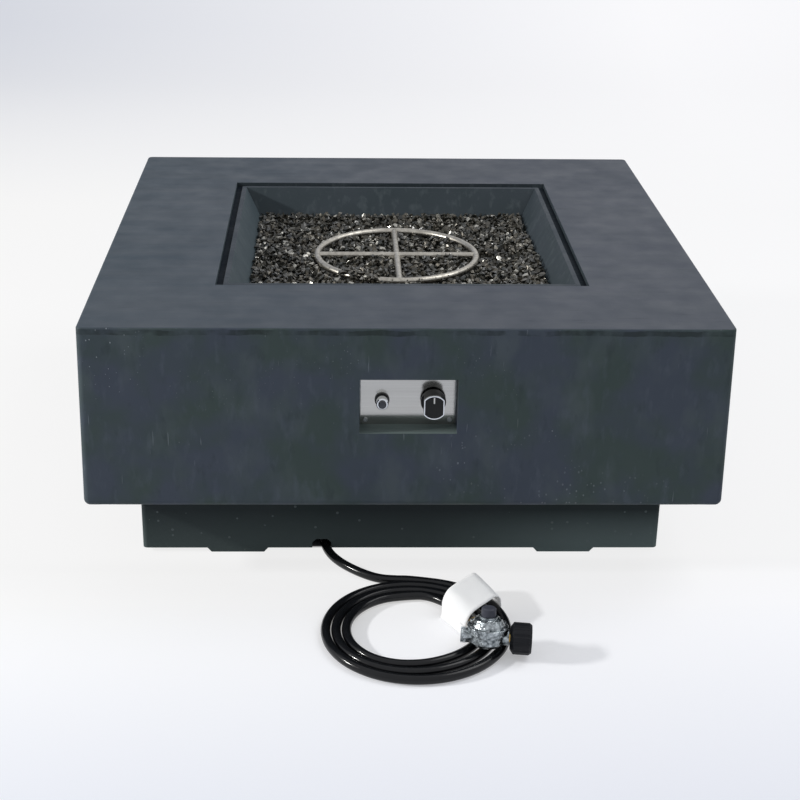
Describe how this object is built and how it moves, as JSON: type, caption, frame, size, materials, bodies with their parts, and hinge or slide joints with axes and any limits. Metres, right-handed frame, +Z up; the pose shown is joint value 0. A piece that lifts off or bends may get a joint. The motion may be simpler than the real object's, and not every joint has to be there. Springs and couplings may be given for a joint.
{
  "type": "low gas fire table",
  "caption": "Low square cast fire table on a recessed plinth, with a ring burner in a bed of fire glass, a control panel and a coiled gas hose with its regulator.",
  "frame": {"origin": "middle of the footprint, on the ground", "axes": "+X right, +Y to the back, +Z up; the control panel faces -Y"},
  "size_m": [1.0254, 1.3475, 0.4308],
  "materials": {
    "cast_concrete": "matte",
    "zinc_steel": "satin",
    "stainless": "satin",
    "panel_steel": "gloss",
    "brass": "satin",
    "valve_brass": "satin",
    "aluminium_line": "satin",
    "fire_glass": "polished",
    "white_ceramic": "gloss",
    "lead_plastic": "satin",
    "copper_lead": "satin",
    "spring_steel": "satin",
    "knob_plastic": "gloss",
    "bright_chrome": "polished",
    "pointer_white": "satin",
    "igniter_plastic": "satin",
    "hose_rubber": "satin",
    "wrap_foam": "matte",
    "regulator_zinc": "satin",
    "cap_plastic": "satin",
    "nut_plastic": "satin"
  },
  "bodies": {
    "table": {"air_mixer": "brass", "angle_bolts": "zinc_steel", "bonnet_screws": "zinc_steel", "burner_line": "aluminium_line", "burner_pan": "stainless", "burner_riser": "stainless", "control_panel": "panel_steel", "cross_rails": "zinc_steel", "electrode_insulator": "white_ceramic", "electrode_rod": "stainless", "end_ferrule": "stainless", "fire_glass": "fire_glass", "hose_ferrule": "stainless", "hose_inside": "hose_rubber", "hose_nut": "brass", "hose_wrap": "wrap_foam", "igniter_bezel": "bright_chrome", "igniter_body": "igniter_plastic", "igniter_nut": "zinc_steel", "igniter_ring": "igniter_plastic", "igniter_spring": "spring_steel", "ignition_lead": "lead_plastic", "line_nuts": "brass", "long_rails": "zinc_steel", "mounting_plate": "zinc_steel", "orifice_elbow": "brass", "panel_screws": "stainless", "plate_screws": "zinc_steel", "plinth": "cast_concrete", "plinth_bolts": "zinc_steel", "rail_angles": "zinc_steel", "regulator_body": "regulator_zinc", "regulator_cap": "cap_plastic", "regulator_cover": "regulator_zinc", "regulator_plug": "stainless", "regulator_screws": "zinc_steel", "ring_burner": "stainless", "riser_nut": "stainless", "safety_magnet": "brass", "stem_spring": "spring_steel", "supply_hose_coil": "hose_rubber", "supply_hose_lead": "hose_rubber", "table_body": "cast_concrete", "tank_nipple": "brass", "thermocouple": "stainless", "thermocouple_lead": "copper_lead", "valve_body": "valve_brass", "valve_bonnet": "valve_brass"},
    "plug": {"valve_plug": "brass"},
    "knob": {"knob": "knob_plastic", "knob_rim": "bright_chrome", "knob_pointer": "pointer_white", "valve_stem": "brass", "stem_washer": "stainless"},
    "button": {"igniter_button": "bright_chrome"},
    "nut": {"coupling_nut": "nut_plastic"}
  },
  "joints": [
    {"name": "knob_turn", "type": "hinge", "parent": "table", "child": "plug", "pos_m": [0.044, -0.4746, 0.298], "axis": [0, -1, 0], "range_deg": [0, 180]},
    {"name": "knob_push", "type": "slide", "parent": "plug", "child": "knob", "axis": [0, 1, 0], "range_m": [0, 0.004], "stiffness_N_per_m": 500, "springref_m": -0.006, "deforming": ["stem_spring"]},
    {"name": "igniter_press", "type": "slide", "parent": "table", "child": "button", "axis": [0, 1, 0], "range_m": [0, 0.004], "stiffness_N_per_m": 400, "springref_m": -0.005, "deforming": ["igniter_spring"]},
    {"name": "nut_spin", "type": "hinge", "parent": "table", "child": "nut", "pos_m": [0.11653, -0.74726, 0.0316], "axis": [0.9944, -0.1045, -0.0175], "continuous": true}
  ]
}
